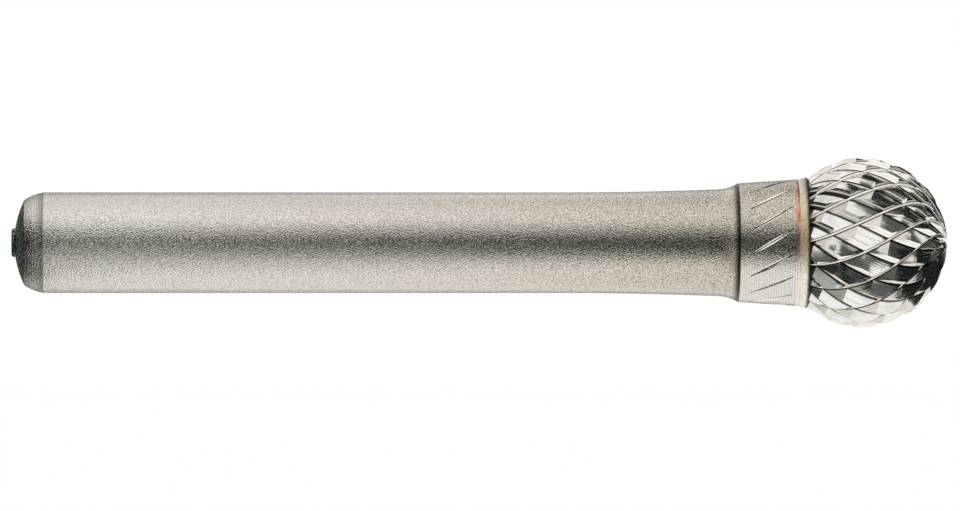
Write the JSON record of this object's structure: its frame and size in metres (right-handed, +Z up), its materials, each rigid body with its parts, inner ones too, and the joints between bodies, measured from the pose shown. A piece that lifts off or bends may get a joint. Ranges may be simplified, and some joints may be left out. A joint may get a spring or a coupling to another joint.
{
  "type": "carbide burr",
  "caption": "Ball-nose rotary burr: a double-cut carbide head brazed to a plain round steel shank that thickens into a collar.",
  "frame": {"origin": "on the burr's axis, where the parallel grip of the shank begins next to the tail chamfer", "axes": "+X along the burr's axis towards the ball, +Z up, -Y towards the camera of the picture"},
  "size_m": [0.0558, 0.0102, 0.0102],
  "materials": {
    "shank_steel": "fine blasted",
    "copper_braze": "turned flush",
    "ground_carbide": "ground bright"
  },
  "bodies": {
    "root": {"shank": "shank_steel", "braze_layer": "copper_braze", "cutting_head": "ground_carbide"}
  },
  "joints": []
}
